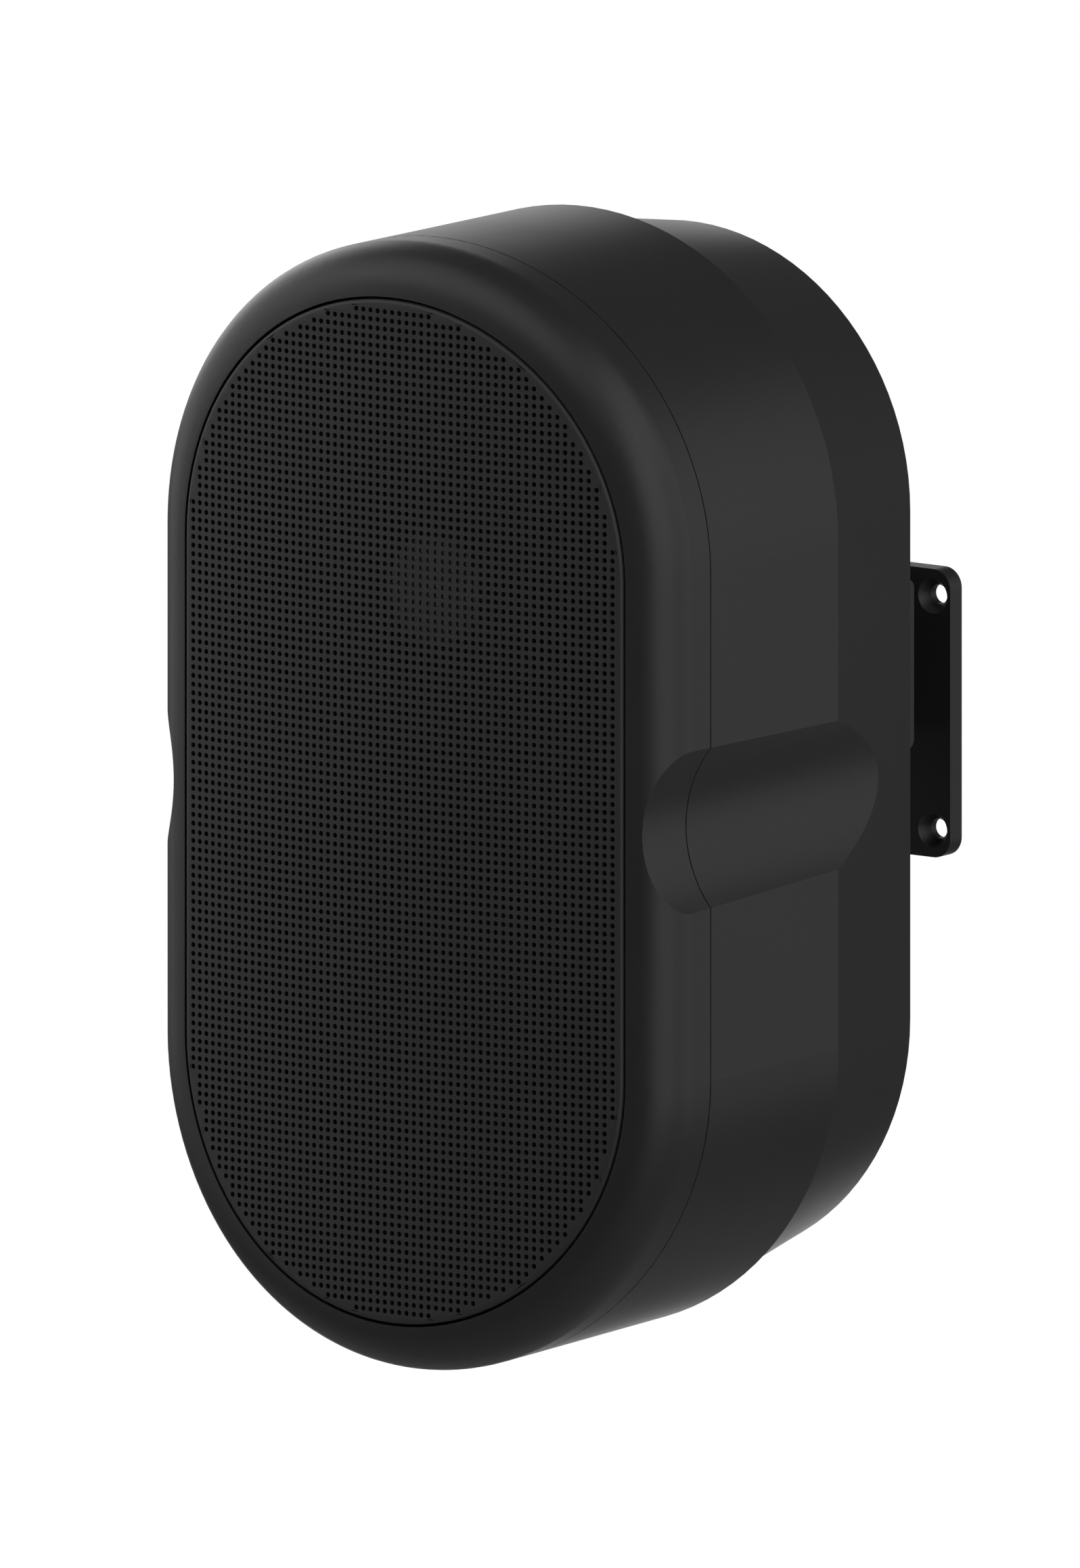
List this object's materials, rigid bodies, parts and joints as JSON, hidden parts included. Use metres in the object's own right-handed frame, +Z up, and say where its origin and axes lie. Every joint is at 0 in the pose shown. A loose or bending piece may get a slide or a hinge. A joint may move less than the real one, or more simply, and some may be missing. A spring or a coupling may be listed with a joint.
{
  "type": "wall-mounted loudspeaker",
  "caption": "Black pill-shaped wall loudspeaker with a bowed perforated grille, woofer, dome tweeter, side grooves and a pan and tilt wall bracket.",
  "frame": {"origin": "centre of the wall plate's screw pattern, on its back face", "axes": "+Y into the wall, so the grille faces -Y; +Z up; +X to the right seen from the front"},
  "size_m": [0.1424, 0.1779, 0.2595],
  "materials": {
    "cabinet_plastic": "fine matte moulded texture, black",
    "grille_paint": "matte black powder coat on perforated steel",
    "seal_foam": "closed-cell foam, black",
    "black_steel": "blackened steel",
    "port_plastic": "moulded plastic, black",
    "cast_frame": "cast and painted dark",
    "surround_rubber": "moulded rubber, black",
    "spider_cloth": "impregnated cloth, tan",
    "plated_steel": "zinc plated",
    "ferrite": "sintered ferrite, dark grey",
    "cone_sheet": "coated cone sheet, charcoal",
    "former_foil": "plain foil",
    "copper_wire": "enamelled copper",
    "dome_cloth": "coated silk, silver grey",
    "surround_cloth": "coated cloth, dark grey",
    "board_laminate": "glass-fibre laminate, green",
    "capacitor_film": "yellow film wrap",
    "resistor_ceramic": "white ceramic",
    "terminal_plastic": "moulded plastic, black",
    "contact_brass": "bright strip",
    "lever_red": "moulded, red",
    "lever_black": "moulded, black",
    "bracket_paint": "satin black powder coat",
    "washer_nylon": "nylon, black",
    "lead_red": "soft wire sleeve, red",
    "lead_black": "soft wire sleeve, black"
  },
  "bodies": {
    "wall_plate": {"wall_plate": "bracket_paint", "pan_pin": "black_steel", "pan_clip": "black_steel", "pan_washers": "washer_nylon"},
    "pivot": {"pivot_block": "bracket_paint", "tilt_screws": "black_steel", "tilt_washers": "washer_nylon"},
    "speaker": {"front_baffle": "cabinet_plastic", "rear_cabinet": "cabinet_plastic", "cabinet_gasket": "seal_foam", "cabinet_screws": "black_steel", "grille": "grille_paint", "port_tube_left": "port_plastic", "port_tube_right": "port_plastic", "woofer_gasket": "seal_foam", "woofer_frame": "cast_frame", "woofer_surround": "surround_rubber", "woofer_spider": "spider_cloth", "woofer_top_plate": "plated_steel", "woofer_magnet": "ferrite", "woofer_pole_yoke": "plated_steel", "woofer_screws": "black_steel", "tweeter_faceplate": "port_plastic", "tweeter_surround": "surround_cloth", "tweeter_top_plate": "plated_steel", "tweeter_magnet": "ferrite", "tweeter_pole_yoke": "plated_steel", "tweeter_screws": "black_steel", "crossover_board": "board_laminate", "crossover_inductor": "copper_wire", "crossover_capacitors": "capacitor_film", "crossover_resistor": "resistor_ceramic", "crossover_screws": "plated_steel", "terminal_cup": "terminal_plastic", "terminal_contacts": "contact_brass", "terminal_screws": "black_steel", "mount_yoke": "bracket_paint", "yoke_screws": "black_steel", "woofer_tag_strip": "board_laminate", "woofer_tags": "contact_brass", "tweeter_tags": "contact_brass", "leads_black": "lead_black", "leads_red": "lead_red"},
    "woofer_cone": {"woofer_cone": "cone_sheet", "woofer_dust_cap": "cone_sheet", "woofer_former": "former_foil", "woofer_coil": "copper_wire"},
    "tweeter_dome": {"tweeter_dome": "dome_cloth", "tweeter_coil": "copper_wire"},
    "terminal_lever_red": {"terminal_lever_red": "lever_red"},
    "terminal_lever_black": {"terminal_lever_black": "lever_black"}
  },
  "joints": [
    {"name": "pan", "type": "hinge", "parent": "wall_plate", "child": "pivot", "pos_m": [0, -0.0299, 0.01404], "axis": [0, 0, 1], "range_deg": [-15, 15]},
    {"name": "tilt", "type": "hinge", "parent": "pivot", "child": "speaker", "pos_m": [0, -0.0299, 0.01404], "axis": [1, 0, 0], "range_deg": [-15, 15]},
    {"name": "woofer_travel", "type": "slide", "parent": "speaker", "child": "woofer_cone", "axis": [0, -1, 0], "range_m": [-0.004, 0.004], "stiffness_N_per_m": 1500, "deforming": ["woofer_surround", "woofer_spider"]},
    {"name": "tweeter_travel", "type": "slide", "parent": "speaker", "child": "tweeter_dome", "axis": [0, -1, 0], "range_m": [-0.0003, 0.0003], "stiffness_N_per_m": 2000, "deforming": ["tweeter_surround"]},
    {"name": "lever_red_press", "type": "hinge", "parent": "speaker", "child": "terminal_lever_red", "pos_m": [0.00975, -0.0675, -0.05031], "axis": [-1, 0, 0], "range_deg": [0, 15], "stiffness_Nm_per_rad": 0.1, "springref_deg": -11.46},
    {"name": "lever_black_press", "type": "hinge", "parent": "speaker", "child": "terminal_lever_black", "pos_m": [-0.00975, -0.0675, -0.05031], "axis": [-1, 0, 0], "range_deg": [0, 15], "stiffness_Nm_per_rad": 0.1, "springref_deg": -11.46}
  ]
}
